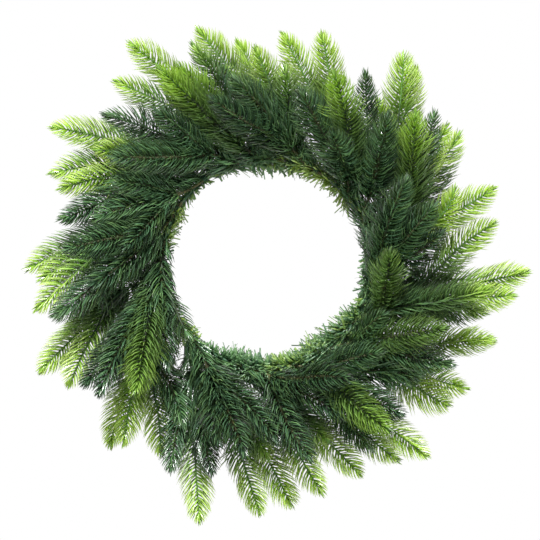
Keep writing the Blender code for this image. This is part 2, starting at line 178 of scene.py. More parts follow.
# Where needles begin and end: on a stem, past its foot, with the shortest run that gets any and the
# distance from a tip's end that they look like; on a twig, past the fork and short of the tip's end
STEM_NEEDLES_FROM, STEM_RUN, STEM_TO_END = 8.0, 8, 90
NEEDLES_FROM, NEEDLES_SHORT = 5.0, 6.0

# The garland round the hoop: bearing in degrees, how far in its strips reach, how bright they are painted
# (partly painted light and shade round the hoop) and the share of them that is cut short
GARLAND_COURSE = (
    (0, 12, 0.2, 0.2), (10, 7, 0.2, 0.6), (25, 6.5, 0.3, 0.75), (34, 7.5, 0.45, 0.7), (42, 12, 0.9, 0.25),
    (50, 11.5, 0.9, 0.3), (64, 12.5, 0.95, 0), (69, 12, 0.5, 0.1), (76, 12, 0.7, 0.2), (84, 12.5, 0.7, 0.2),
    (90, 15, 0.3, 0), (100, 14.5, 0.3, 0), (110, 14, 0.4, 0.1), (120, 8, 0.3, 0.55), (130, 6.5, 0.5, 0.65),
    (136, 8, 0.7, 0.5), (150, 11, 0.9, 0.65), (160, 11, 0.9, 0.5), (170, 11.5, 0.5, 0.5),
    (180, 9, 0.4, 0.95), (194, 8, 0.6, 1), (206, 8, 0.6, 1), (214, 9, 0.6, 0.65), (226, 8.5, 0.6, 0.7),
    (232, 6, 0.3, 0.65), (240, 9, 0.4, 0.4), (250, 14.5, 0.1, 0), (262, 14.5, 0.2, 0), (275, 12, 0.4, 0),
    (288, 13.5, 0.4, 0), (296, 17, 0.4, 0), (304, 18.5, 0.45, 0), (320, 18.5, 0.4, 0), (330, 13, 0.5, 0),
    (336, 9.5, 0.5, 0.1), (342, 7, 0.4, 0.3), (350, 12, 0.4, 0.3), (360, 12, 0.2, 0.2))
# How crowded its strips are, by bearing
GARLAND_CROWD = ((0, 1.0), (176, 1.0), (184, 0.5), (206, 0.5), (214, 1.0), (242, 1.0), (256, 1.9),
                 (328, 1.9), (338, 1.0), (360, 1.0))
# The opening at the bottom, in degrees, between the core's two ends and between the outermost strips
CORE_GAP, STRIP_GAP = 2.0, 2.2
# The two core wires: how far each runs beside the middle, its radius, and the turns of the twist
STRAND_ASIDE, STRAND_RADIUS, STRAND_TURNS = 0.55, 0.6, 150
# The rings of a strip: their places along it and their shares of its full width. Then half the film's
# thickness, the share of its length left to a strip cut short, and the share of strips that stand astray.
STRIP_STOPS = (0.0, 0.5, 1.0)
STRIP_WIDTHS = (0.9, 1.0, 0.75)
STRIP_SKIN = 0.07
CUT_SHORT = 0.3
STRAY_STRIPS = 0.02

# Tie wires: diameter, turns, and the pitch of the turns along the hoop. Then their twisted ends: the
# turns, how far each runs beside the middle, and the length.
TIE_WIRE, TIE_TURNS, TIE_PITCH = 1.2, 2.6, 1.5
TAIL_TURNS, TAIL_ASIDE, TAIL_LENGTH = 2.4, 0.62, 7.0

# Starts of the random draws of the hoop and of the first tie wire
HOOP_SEED, TIE_SEED = 41, 300

WREATH_MIDDLE = Vector((0.003, 0.0, -0.109))
SENSOR = 36.0
FLOOR_RADIUS, FLOOR_HEIGHT = 2.2, -0.72


# ---- Places and centre lines

def unit(vectors):
    """Vectors scaled to length one."""
    return vectors / np.maximum(np.linalg.norm(vectors, axis=-1, keepdims=True), 1e-9)


def round_hoop(spots):
    """Distance from the hoop's axis, and bearing in radians from three o'clock, of one place or many."""
    across, up = spots[..., 0] - HOOP_CENTRE[0], spots[..., 2] - HOOP_CENTRE[2]
    return np.hypot(across, up), np.arctan2(up, across)


def spoke(angle):
    """The way outward from the hoop's axis at one bearing or many."""
    return np.stack((np.cos(angle), np.zeros_like(angle), np.sin(angle)), axis=-1)


def ring_place(angle, radius, depth):
    """Places round the hoop at some bearings, by their distance from its axis and their depth."""
    places = HOOP_CENTRE + spoke(angle) * np.reshape(radius, (-1, 1))
    places[:, 1] = depth
    return places


def circle(sides):
    """Corners of a round of radius one."""
    turn = np.arange(sides) * math.tau / sides
    return np.stack((np.cos(turn), np.sin(turn)), axis=1)


def distances(points):
    """How far each of a row of points is along it."""
    return np.concatenate(([0.0], np.cumsum(np.linalg.norm(np.diff(points, axis=0), axis=1))))


def read_off(places, known, rows):
    """Rows of numbers at some places between the known ones."""
    return np.stack([np.interp(places, known, column) for column in rows.T], axis=1)


def swing(start, stop, rng, amount, wave):
    """A slow random swing between two places, to be read at any place between them."""
    knots = np.arange(start - wave, stop + 2 * wave, wave)
    values = rng.normal(0.0, amount, len(knots))
    return lambda places: np.interp(places, knots, values)


class Line:
    """A smooth centre line through some knots, with a point about every millimetre."""

    def __init__(self, knots, roll=0.0, facing=FRONT):
        knots = np.array(knots, float)
        gap = np.linalg.norm(np.diff(knots, axis=0), axis=1)
        chord = np.diff(knots, axis=0) / gap[:, None]
        slope = np.empty_like(knots)
        slope[0], slope[-1] = chord[0], chord[-1]
        before, after = gap[:-1, None], gap[1:, None]
        slope[1:-1] = (chord[:-1] * after + chord[1:] * before) / (before + after)
        self.knots_at = distances(knots)
        dense = []
        for index, reach in enumerate(gap):
            share = np.linspace(0.0, 1.0, int(reach * 2) + 2)[:-1, None]
            arrived = 3 * share ** 2 - 2 * share ** 3
            leaving, arriving = share ** 3 - 2 * share ** 2 + share, share ** 3 - share ** 2
            dense.append((1 - arrived) * knots[index] + leaving * reach * slope[index]
                         + arrived * knots[index + 1] + arriving * reach * slope[index + 1])
        dense = np.vstack(dense + [knots[-1:]])
        run = distances(dense)
        self.length = run[-1]
        self.places = np.linspace(0.0, self.length, int(self.length) + 2)
        self.points = read_off(self.places, run, dense)
        self.ahead = unit(np.gradient(self.points, self.places, axis=0))
        over = unit(facing - self.ahead * (self.ahead @ facing)[:, None])
        self.over = over * math.cos(roll) + np.cross(self.ahead, over) * math.sin(roll)

    def at(self, places):
        """Points, forward directions and facing directions at distances along the line."""
        point, ahead, over = (read_off(places, self.places, rows)
                              for rows in (self.points, self.ahead, self.over))
        return point, unit(ahead), unit(over)


# ---- Reading the frame

def numbers(items, name, width, kind=np.float32):
    """One property of every item of a mesh, as rows."""
    found = np.empty(len(items) * width, kind)
    items.foreach_get(name, found)
    return found.reshape(-1, width)


def welded(node):
    """A node's points in millimetres and its edges, with split corners joined again."""
    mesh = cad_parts[node].data
    points, joined = np.unique(numbers(mesh.vertices, "co", 3), axis=0, return_inverse=True)
    edges = joined.ravel()[numbers(mesh.edges, "vertices", 2, np.int32)]
    edges = np.unique(np.sort(edges, axis=1), axis=0)
    return points.astype(float) / MM, edges[edges[:, 0] != edges[:, 1]]


def rings_with_side(points, edges, side):
    """Every closed ring of corners whose sides have the given length, as lists of point numbers."""
    length = np.linalg.norm(points[edges[:, 0]] - points[edges[:, 1]], axis=1)
    leader = {}

    def lead(point):
        while leader.setdefault(point, point) != point:
            point = leader[point]
        return point

    for one, other in edges[abs(length - side) < SIDE_TOLERANCE]:
        leader[lead(int(one))] = lead(int(other))
    groups = {}
    for point in sorted(leader):
        groups.setdefault(lead(point), []).append(point)
    return [group for group in groups.values() if len(group) == RING_CORNERS]


def spray_lines(node):
    """Centres of a spray's stem rings from its foot to its fork, and of each tip's rings outward."""
    points, edges = welded(node)
    touching = {}
    for one, other in edges.tolist():
        touching.setdefault(one, set()).add(other)
        touching.setdefault(other, set()).add(one)
    tips = []
    for ring in rings_with_side(points, edges, TIP_RING_SIDE):
        level, seen, line = set(ring), set(ring), []
        while len(level) == len(ring):
            line.append(points[sorted(level)].mean(axis=0))
            level = set().union(*(touching[point] for point in level)) - seen
            seen |= level
        tips.append(line[::-1])
    stem = [points[ring].mean(axis=0) for ring in rings_with_side(points, edges, STEM_RING_SIDE)]
    if len(stem) != STEM_RINGS or len(tips) != len(SPRAY_TIPS[node]):
        raise RuntimeError(f"{node} does not have the stem and tips that its looks were listed for")
    roots = np.mean([tip[0] for tip in tips], axis=0)
    stem.sort(key=lambda centre: -np.linalg.norm(centre - roots))
    outward = round_hoop(stem[0])[1]

    def turn(tip):
        across, _, up = tip[-1] - stem[0]
        return (math.atan2(up, across) - outward + math.pi) % math.tau - math.pi

    return stem, sorted(tips, key=turn)


# ---- Mesh stock

def placed(name, data):
    """A new object in the scene."""
    made = bpy.data.objects.new(name, data)
    bpy.context.scene.collection.objects.link(made)
    return made


class Stock:
    """Closed shapes gathered into one piece, with their bake map and their surface figures."""

    FIGURES = ("growth", "reach", "shade", "vivid")

    def __init__(self):
        self.points, self.figures, self.faces = [], [], []
        self.count = 0

    def add(self, points, faces, material=0, **figures):
        """Adds points and, for each array of faces, its corner numbers and its bake map places."""
        points = points.reshape(-1, 3)
        rows = np.zeros((len(points), len(self.FIGURES)))
        for column, name in enumerate(self.FIGURES):
            rows[:, column] = figures.get(name, 0.0)
        for corners, places in faces:
            self.faces.append((corners + self.count, places, material))
        self.points.append(points)
        self.figures.append(rows)
        self.count += len(points)

    def piece(self, name, replaced, materials, sharp_above=None):
        """Makes the mesh object, rides it on the frame and hides the nodes it stands for."""
        mesh = bpy.data.meshes.new(name)
        mesh.vertices.add(self.count)
        mesh.vertices.foreach_set("co", (np.vstack(self.points) * MM).astype(np.float32).ravel())
        corners = np.concatenate([faces.ravel() for faces, _, _ in self.faces])
        widths = np.concatenate([np.full(len(faces), faces.shape[1]) for faces, _, _ in self.faces])
        worn = np.concatenate([np.full(len(faces), material) for faces, _, material in self.faces])
        starts = np.cumsum(widths) - widths
        mesh.loops.add(len(corners))
        mesh.loops.foreach_set("vertex_index", corners.astype(np.int32))
        mesh.polygons.add(len(widths))
        mesh.polygons.foreach_set("loop_start", starts.astype(np.int32))
        mesh.polygons.foreach_set("material_index", worn.astype(np.int32))
        mesh.polygons.foreach_set("use_smooth", np.ones(len(widths), bool))
        places = np.vstack([places.reshape(-1, 2) for _, places, _ in self.faces])
        mesh.uv_layers.new(name=BAKE_MAP).uv.foreach_set("vector", places.astype(np.float32).ravel())
        for figure, values in zip(self.FIGURES, np.vstack(self.figures).astype(np.float32).T):
            mesh.attributes.new(figure, "FLOAT", "POINT").data.foreach_set("value", values.copy())
        mesh.update(calc_edges=True)
        if mesh.validate(clean_customdata=False):
            raise RuntimeError(f"{name} has a broken face")
        if sharp_above is not None:
            mesh.set_sharp_from_angle(angle=math.radians(sharp_above))
        for material in materials:
            mesh.materials.append(material)
        made = placed(name, mesh)
        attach(made, "root")
        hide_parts(*replaced)
        return made


def cells(count, low, high, longer=2.5):
    """Lower corners and size of equal cells that fill the bake map between two heights."""
    across = max(1, math.ceil(math.sqrt(count / longer / (high - low))))
    down = max(1, math.ceil(count / across))
    index = np.arange(count)
    size = np.array((1.0 / across, (high - low) / down))
    return np.stack((index % across, index // across), axis=1) * size + (0.0, low), size


def copies(shapes, count, width, low, high):
    """Faces of many like bodies with so many points each, every body in its own bake map cell."""
    corner, size = cells(count, low, high)
    first = (np.arange(count) * width)[:, None, None]
    made = []
    for group in shapes:
        corners, places = (np.array(column) for column in zip(*group))
        faces = (corners[None] + first).reshape(-1, corners.shape[1])
        made.append((faces, (corner[:, None, None] + places[None] * size).reshape(*faces.shape, 2)))
    return made


def tube(centre, over, across, girth, sides, cell):
    """Points and faces of a closed tube round some centres, with its bake map places in a cell."""
    rings, corner = len(centre), circle(sides)
    ring = over[:, None] * corner[:, :1] + across[:, None] * corner[:, 1:]
    points = centre[:, None] + ring * np.broadcast_to(girth, (rings, sides))[..., None]
    (left, low), (wide, high) = cell
    margin, cap = 0.03, 0.05
    span = 1.0 - 2 * (margin + cap)
    row, side = np.divmod(np.arange((rings - 1) * sides), sides)
    here, there, after = row * sides, (row + 1) * sides, (side + 1) % sides
    walls = np.stack((here + side, here + after, there + after, there + side), axis=1)
    along = margin + cap + span * np.stack((row, row, row + 1, row + 1), axis=1) / (rings - 1)
    up = margin + (1 - 2 * margin) * np.stack((side, side + 1, side + 1, side), axis=1) / sides
    faces = [(walls, np.stack((left + wide * along, low + high * up), axis=2))]
    disc = corner * (0.4 * cap * wide, 0.3 * high)
    for first, step, at in ((0, -1, margin + cap / 2), ((rings - 1) * sides, 1, 1 - margin - cap / 2)):
        places = disc + (left + wide * at, low + high / 2)
        faces.append(((first + np.arange(sides))[None, ::step], places[None, ::step]))
    return points, faces


def line_tube(line, places, girth, sides, cell):
    """A closed tube along a line."""
    centre, ahead, over = line.at(places)
    return tube(centre, over, np.cross(ahead, over), girth, sides, cell)


def ring_tube(radius, depth, girth, rings, sides, gap, cell):
    """A closed tube laid round the hoop, from one side of a gap at the bottom to the other."""
    angle = -math.pi / 2 + gap / 2 + (math.tau - gap) * np.linspace(0, 1, rings)
    facing = np.broadcast_to(FRONT, (rings, 3))
    return tube(ring_place(angle, radius, depth), spoke(angle), facing, girth, sides, cell)


# ---- Needles

Needles = namedtuple("Needles", "root ahead outward keel length lean_start lean_end width bow"
                                " growth shade vivid pale")


def needle_points(needles, ridge):
    """Points of many tapering, curving needles at once, flat behind with a ridge towards the front."""
    fine = np.linspace(0.0, 1.0, FINE_STEPS)
    change = (needles.lean_end - needles.lean_start)[:, None]
    lean = np.radians(needles.lean_start[:, None] + change * fine ** BEND_EASE)
    middle = (lean[:, 1:] + lean[:, :-1]) / 2
    step = needles.length[:, None] / (FINE_STEPS - 1)
    start = np.zeros((len(step), 1))
    along = np.hstack((start, np.cumsum(np.cos(middle) * step, axis=1)))
    away = np.hstack((start, np.cumsum(np.sin(middle) * step, axis=1)))
    side = np.cross(needles.ahead, needles.outward)

    def centre(index):
        drift = needles.bow * needles.length * fine[index] ** 2
        return (needles.root + needles.ahead * along[:, index, None]
                + needles.outward * away[:, index, None] + side * drift[:, None])

    rings = []
    for station, share in zip(STATIONS, WIDTH_SHARES):
        index = round(station * (FINE_STEPS - 1))
        tilt = lean[:, index, None]
        half = (needles.width * share / 2 * needles.keel)[:, None]
        edge = unit(needles.outward * np.cos(tilt) - needles.ahead * np.sin(tilt)) * half
        front, back = side * half * RIDGE_FRONT * ridge, side * half * RIDGE_BACK * ridge
        rings += [centre(index) + edge - back, centre(index) + front, centre(index) - edge - back]
    return np.stack(rings + [centre(FINE_STEPS - 1)], axis=1)


def needle_faces(count, low, high):
    """Faces of that many needles, with their bake map places between two heights."""
    last, peak = (len(STATIONS) - 1) * NEEDLE_CORNERS, 0.97
    stops = np.interp(STATIONS, (0.0, 1.0), (0.09, peak))
    rise = np.linspace(0.04, 0.96, NEEDLE_CORNERS + 1)
    walls, ends = [], []
    for side in range(NEEDLE_CORNERS):
        after, near, far = (side + 1) % NEEDLE_CORNERS, rise[side], rise[side + 1]
        for row, (back, on) in enumerate(zip(stops, stops[1:])):
            here, there = row * NEEDLE_CORNERS, (row + 1) * NEEDLE_CORNERS
            walls.append(((here + side, there + side, there + after, here + after),
                          ((back, near), (on, near), (on, far), (back, far))))
        ends.append(((last + side, last + NEEDLE_CORNERS, last + after),
                     ((stops[-1], near), (peak, (near + far) / 2), (stops[-1], far))))
    ends.append((range(NEEDLE_CORNERS), ((0.02, 0.1), (0.06, 0.5), (0.02, 0.9))))
    return copies((walls, ends), count, NEEDLE_POINTS, low, high)


def freshness(growth, to_end, softness):
    """How new the growth is at some distances back from the tip's end."""
    return growth.fresh / (1 + np.exp((to_end - growth.depth) / softness))


def gathered(line, places, lift, hand, length, mean, bend, to_end, growth, settings, rng):
    """One set of needles on a line, from their mean lean and how far they bend, with their colours."""
    root, ahead, over = line.at(places)
    # Painted shade: needles that rise to the front are lighter, and the rows behind, the filling rows among
    # them, darker
    level = ((lift + 60.0) / 140.0).clip(0.0, 1.0)
    lift = np.radians(lift)[:, None]
    outward = unit(np.cross(ahead, over) * hand[:, None] * np.cos(lift) + over * np.sin(lift))
    side = np.cross(ahead, outward)
    # The ridge goes on the side that is turned to the front
    keel = np.where((side * over).sum(axis=1) + 0.2 * (side @ FRONT) >= 0, 1.0, -1.0)
    count = len(places)
    new = freshness(growth, to_end, 3.0 + 0.27 * growth.depth) + rng.normal(0.0, 0.05, count) + 0.03
    width = settings.needle_width / MM * growth.close * rng.normal(1.0, 0.08, count).clip(0.75, 1.3)
    bow = rng.normal(0.0, 0.02, count)
    shade = 0.78 * rng.random(count) + 0.92 * level - 0.38 + growth.tone
    vivid = growth.vivid + rng.normal(0.0, 0.12, count)
    return Needles(root, ahead, outward, keel, length, mean + bend, mean - bend, width, bow,
                   new.clip(0.0, 1.0), shade.clip(-0.12, 1.1), vivid.clip(0.0, 1.0), np.ones(count))


def without_stumps(needles):
    """The needles that are long enough to be made."""
    return Needles(*(column[needles.length > STUMP] for column in needles))


def fan(line, start, stop, growth, settings, rng, full=1.0, to_end_from=None, rows=None):
    """Needles along both sides of a twig, from one place to another, shorter towards its end."""
    spacing = settings.needle_spacing / MM * growth.close
    parts = []
    for hand in (-1.0, 1.0):
        drift, droop, turn, reach = (
            swing(0.0, line.length, rng, amount, wave)
            for amount, wave in ((0.14 * spacing, 9.0), (7.0, 16.0), (3.0, 14.0), (0.045, 18.0)))
        for row in NEEDLE_ROWS[rows or growth.rows]:
            places = np.arange(start + spacing * (row.phase + 0.5 * (hand > 0)), stop, spacing * row.gap)
            count = len(places)
            parts.append((
                (places + drift(places) + rng.normal(0.0, PLACE_SPREAD * spacing, count)).clip(start, stop),
                row.lift + droop(places) + rng.normal(0.0, LIFT_SPREAD, count), np.full(count, hand),
                row.share * (1.0 + reach(places)), turn(places) + rng.normal(0.0, LEAN_SPREAD, count)))
    places, lift, hand, share, turned = (np.concatenate(column) for column in zip(*parts))
    count = len(places)
    to_end = (line.length if to_end_from is None else to_end_from) - places
    taper = np.interp(to_end, TAPER_PLACES, TAPER_LENGTHS)
    length = settings.needle_length / MM * full * share * taper * rng.normal(1.0, LENGTH_SPREAD, count)
    mean = np.interp(to_end, TAPER_PLACES, TAPER_LEANS) + turned
    if rows == "fill":
        # These rows come in tufts, with gaps between them
        length *= swing(0.0, line.length, rng, 1.0, 6.0)(places) > -0.02
        mean += FILL_LEAN
    cover = np.cos(np.radians(lift)).clip(0.25) ** 0.6
    mean = np.degrees(np.arctan(np.tan(np.radians(mean)) / cover))
    bend = rng.normal(BRUSH_BEND if growth.rows == "brush" else COMB_BEND, BEND_SPREAD, count)
    bend *= np.interp(to_end, (0, 20), (0.5, 1.0))
    stray = rng.random(count) < STRAY_NEEDLES
    lift += stray * rng.normal(0.0, 20.0, count)
    mean += stray * rng.normal(0.0, 9.0, count)
    return without_stumps(gathered(
        line, places, lift, hand, length, mean, bend, to_end, growth, settings, rng))


def crown(line, growth, settings, rng):
    """The short forward needles that close a tip's blunt end."""
    count = 16
    places = line.length - rng.uniform(4.5, 9.0, count)
    lift = rng.uniform(-90.0, 90.0, count)
    hand = np.where(rng.random(count) < 0.5, -1.0, 1.0)
    length = rng.uniform(7.0, 13.0, count)
    mean = rng.uniform(1.0, 21.0, count)
    bend = rng.uniform(4.0, 12.0, count)
    to_end = line.length - places
    bud = gathered(line, places, lift, hand, length, mean, bend, to_end, growth, settings, rng)
    return bud._replace(growth=bud.growth * 0.74, pale=bud.pale * 0.5)


def kept_clear(needles, rng):
    """Shortens the needles that would reach past the rim's course or into the door behind."""
    outer, bearing = round_hoop(needles.root)
    clear = np.interp(np.degrees(bearing) % 360, *zip(*RIM_COURSE)) + rng.normal(0.0, RIM_SPREAD, len(outer))
    mean = np.radians((needles.lean_start + needles.lean_end) / 2)[:, None]
    reach = (needles.ahead * np.cos(mean) + needles.outward * np.sin(mean)) * needles.length[:, None]
    inner = round_hoop(needles.root + reach)[0]
    share = np.where(inner < clear, (outer - clear) / np.maximum(outer - inner, 0.1), 1.0)
    share = np.minimum(share, (BACK_REACH - needles.root[:, 1]) / np.maximum(reach[:, 1], 0.1))
    gone = (share < CUT_UNDER) & (rng.random(len(share)) < CUT_AWAY)
    length = needles.length * np.where(gone, 0.0, share.clip(LEAST_KEPT, 1.0))
    return without_stumps(needles._replace(length=length))


# ---- Finishes

class Tap:
    """One output of a node. Sums written with it add the Math nodes they need."""

    def __init__(self, finish, socket):
        self.finish, self.socket = finish, socket

    def maths(self, operation, *values):
        return self.finish.node("ShaderNodeMath", {"operation": operation}, dict(enumerate(values)))

    def __add__(self, other):
        return self.maths("ADD", self, other)

    def __sub__(self, other):
        return self.maths("SUBTRACT", self, other)

    def __rsub__(self, other):
        return self.maths("SUBTRACT", other, self)

    def __mul__(self, other):
        return self.maths("MULTIPLY", self, other)

    __radd__, __rmul__ = __add__, __mul__

    def clamped(self):
        return self.finish.node("ShaderNodeClamp", {}, {0: self})


class Finish:
    """A material, or the world, while its nodes are being put together."""

    def __init__(self, owner, output="ShaderNodeOutputMaterial"):
        owner.use_nodes = True
        self.owner, self.tree = owner, owner.node_tree
        self.tree.nodes.clear()
        self.out = self.tree.nodes.new(output)

    def node(self, kind, settings=None, sockets=None, output=0):
        """Adds a node, makes its settings, fills its sockets with values or taps, returns one output."""
        made = self.tree.nodes.new(kind)
        for name, value in (settings or {}).items():
            setattr(made, name, value)
        for name, value in (sockets or {}).items():
            if isinstance(value, Tap):
                self.tree.links.new(value.socket, made.inputs[name])
            else:
                made.inputs[name].default_value = value
        return Tap(self, made.outputs[output])

    def figures(self, *names):
        """Surface figures stored on the mesh."""
        return [self.node("ShaderNodeAttribute", {"attribute_name": name}, output="Fac") for name in names]

    def noise(self, scale, detail, rough=0.5):
        """Soft random patches from 0 to 1, by the place on the object in metres."""
        places = self.node("ShaderNodeTexCoord", output="Object")
        return self.node("ShaderNodeTexNoise", {}, {
            "Vector": places, "Scale": scale, "Detail": detail, "Roughness": rough})

    def between(self, share, low, high):
        """A value stretched so that low becomes 0 and high becomes 1, with soft ends."""
        return self.node("ShaderNodeMapRange", {"interpolation_type": "SMOOTHSTEP"},
                         {"Value": share, "From Min": low, "From Max": high})

    def mixed(self, share, one, other):
        """One colour turning into another."""
        return self.node("ShaderNodeMix", {"data_type": "RGBA", "clamp_result": True},
                         {0: share, 6: padded(one), 7: padded(other)}, output=2)

    def scaled(self, colour, by):
        """A colour made lighter or darker by a factor that may vary."""
        return self.node("ShaderNodeVectorMath", {"operation": "SCALE"}, {0: colour, "Scale": by})

    def bump(self, height, strength, distance):
        """Small relief."""
        return self.node("ShaderNodeBump", {}, {
            "Height": height, "Strength": strength, "Distance": distance})

    def principled(self, **sockets):
        """The main surface shader, with its sockets' names written with underscores."""
        return self.node("ShaderNodeBsdfPrincipled", {}, {
            name.replace("_", " "): value for name, value in sockets.items()})

    def glowing(self, share, shell, colour):
        """A surface that lets a share of the light behind it through."""
        glow = self.node("ShaderNodeBsdfTranslucent", {}, {"Color": padded(colour)})
        return self.node("ShaderNodeMixShader", {}, {0: share, 1: shell, 2: glow})

    def finished(self, surface):
        """Puts the surface to the output and gives back the material or world."""
        self.tree.links.new(surface.socket, self.out.inputs["Surface"])
        return self.owner


def padded(colour):
    """A colour with the fourth number that colour sockets take."""
    return colour if isinstance(colour, Tap) else (*colour, 1.0)


def srgb(*values):
    """A linear colour from everyday 0 to 255 values."""
    return tuple(((v / 255 + 0.055) / 1.055) ** 2.4 if v > 10 else v / 255 / 12.92 for v in values)


def fir_finish(settings):
    """Moulded needle plastic: old blue-green to fresh yellow-green, with painted shade on the rows behind and
    at the roots, and paler ends that are partly painted light.
    """
    make = Finish(bpy.data.materials.new("moulded_fir_needles"))
    growth, reach, shade, vivid = make.figures(*Stock.FIGURES)
    patches = make.noise(26.0, 2.0)
    fine = make.noise(900.0, 2.0)
    # Painted shade: a low shade figure, mostly on the rows behind, gives the darker old colour
    old = make.mixed(shade, settings.old_shadow, settings.old_needle)
    old = make.mixed(make.between(vivid * 0.7 + patches * 0.6, 0.35, 0.95), old, settings.old_warm)
    middle = make.mixed(vivid, settings.mid_needle, settings.vivid_mid)
    fresh = make.mixed(vivid, settings.new_needle, settings.vivid_needle)
    body = make.mixed((growth * 2.4).clamped(), old, middle)
    body = make.mixed(((growth * 1.8 - 0.75) * (reach * 1.4 + 0.26)).clamped(), body, fresh)
    # Paler needle ends: partly the plastic's own colour, partly painted light
    ends = make.mixed(vivid, settings.new_end, settings.vivid_end)
    ends = make.mixed((growth * 1.35).clamped(), settings.old_end, ends)
    body = make.mixed((make.between(reach, 0.25, 1.0) * (growth * 0.62 + 0.26)).clamped(), body, ends)
    tanned = make.between(make.noise(38.0, 2.0), 0.5, 0.64) * make.between(reach, 0.24, 0.0) * (1.0 - growth)
    body = make.mixed((tanned * 0.75).clamped(), body, settings.tanned)
    # Painted shade darkens the rows behind and the needle roots; growth, patches and fine noise vary the tone
    tone_and_painted_shade = shade * (1.15 - growth * 0.55) + growth * 0.34 + reach * 0.13
    body = make.scaled(body, tone_and_painted_shade + patches * 0.12 + fine * 0.26 + 0.07)
    shell = make.principled(Base_Color=body, Roughness=fine * 0.2 + 0.13, Specular_IOR_Level=1.0,
                            Normal=make.bump(fine, 0.35, 0.0006))
    through = (growth * (reach * 0.36 + 0.2) + reach * 0.04 + 0.04).clamped()
    return make.finished(make.glowing(through, shell, settings.glow))


def twig_finish(settings):
    """Twigs and wrapped stems: brown bark that greens towards new growth."""
    make = Finish(bpy.data.materials.new("fir_twig"))
    growth, shade, vivid = make.figures("growth", "shade", "vivid")
    grain = make.noise(420.0, 3.0, rough=0.6)
    patches = make.noise(60.0, 2.0)
    bark = make.mixed(make.between(grain, 0.3, 0.7), settings.bark_dark, settings.bark)
    green = make.mixed(make.between(growth, 0.3, 1.0), settings.dark_twig, settings.green_twig)
    colour = make.mixed((make.between(vivid, 0.15, 0.85) * 0.9 + patches * 0.1).clamped(), bark, green)
    colour = make.scaled(colour, grain * 0.4 + shade * 0.2 + 0.7)
    return make.finished(make.principled(Base_Color=colour, Roughness=grain * 0.25 + 0.5,
                                         Normal=make.bump(grain, 0.5, 0.0008)))


def tinsel_finish(settings):
    """Cut PVC film: satin green with lighter, clearer strip ends."""
    make = Finish(bpy.data.materials.new("cut_pvc_film"))
    growth, reach, shade = make.figures("growth", "reach", "shade")
    patches = make.noise(34.0, 1.0)
    streaks = make.noise(700.0, 1.0)
    body = make.between(shade * 0.7 + patches * 0.4, 0.15, 0.8)
    colour = make.mixed(body, settings.tinsel_dark, settings.tinsel)
    # Brighter strips: partly painted light and shade, by where they sit round the hoop
    light = make.between(growth * 0.75 + shade * 0.25 + patches * 0.3, 0.5, 1.0)
    colour = make.mixed(light, colour, settings.tinsel_light)
    colour = make.mixed((make.between(reach, 0.5, 1.0) * 0.5).clamped(), colour, settings.tinsel_end)
    shell = make.principled(Base_Color=colour, Roughness=streaks * 0.18 + 0.24, Specular_IOR_Level=0.6,
                            Normal=make.bump(streaks, 0.2, 0.0004))
    return make.finished(make.glowing(0.28 - reach * 0.1, shell, settings.tinsel_glow))


def steel_finish(name, wires):
    """Painted steel wire with worn spots."""
    make = Finish(bpy.data.materials.new(name))
    coarse, fine = make.noise(90.0, 4.0), make.noise(1400.0, 2.0)
    worn = make.between(coarse + fine * 0.25, 0.74, 0.84)
    colour = make.mixed(worn, make.scaled(wires.paint, coarse * 0.6 + 0.7), wires.bare)
    rough = 0.36 + fine * 0.16 - worn * 0.05
    return make.finished(make.principled(Base_Color=colour, Metallic=worn, Roughness=rough,
                                         Normal=make.bump(fine - worn, 0.3, 0.0003)))


# ---- Fir sprays

def add_twig(stock, line, start, stop, radii, growth, cell, rng, wrapped=False):
    """A stem or twig: a closed tube, wound with tape or set with the pegs that carry the needles."""
    sides, tape_pitch = 8, 4.6
    ring_gap = 1.5 if wrapped else 2.2
    places = np.linspace(start, stop, max(4, round((stop - start) / ring_gap)))
    count = len(places)
    if wrapped:
        winding = places[:, None] * math.tau / tape_pitch - np.arange(sides) * math.tau / sides
        relief = 1 + 0.05 * np.sin(winding)
        new, green = 0.0, 0.3
    else:
        relief = rng.normal(1.0, 0.1, (count, sides)).clip(0.8, 1.25)
        new, green = freshness(growth, line.length - places, 8.0).repeat(sides), growth.twig
    girth = np.interp(places, (start, stop), radii)[:, None] * relief
    # Both ends are drawn in
    girth[0] *= 0.75
    girth[-1] *= 0.4
    stock.add(*line_tube(line, places, girth, sides, cell), material=1, growth=new, vivid=green,
              shade=rng.random(count).repeat(sides))


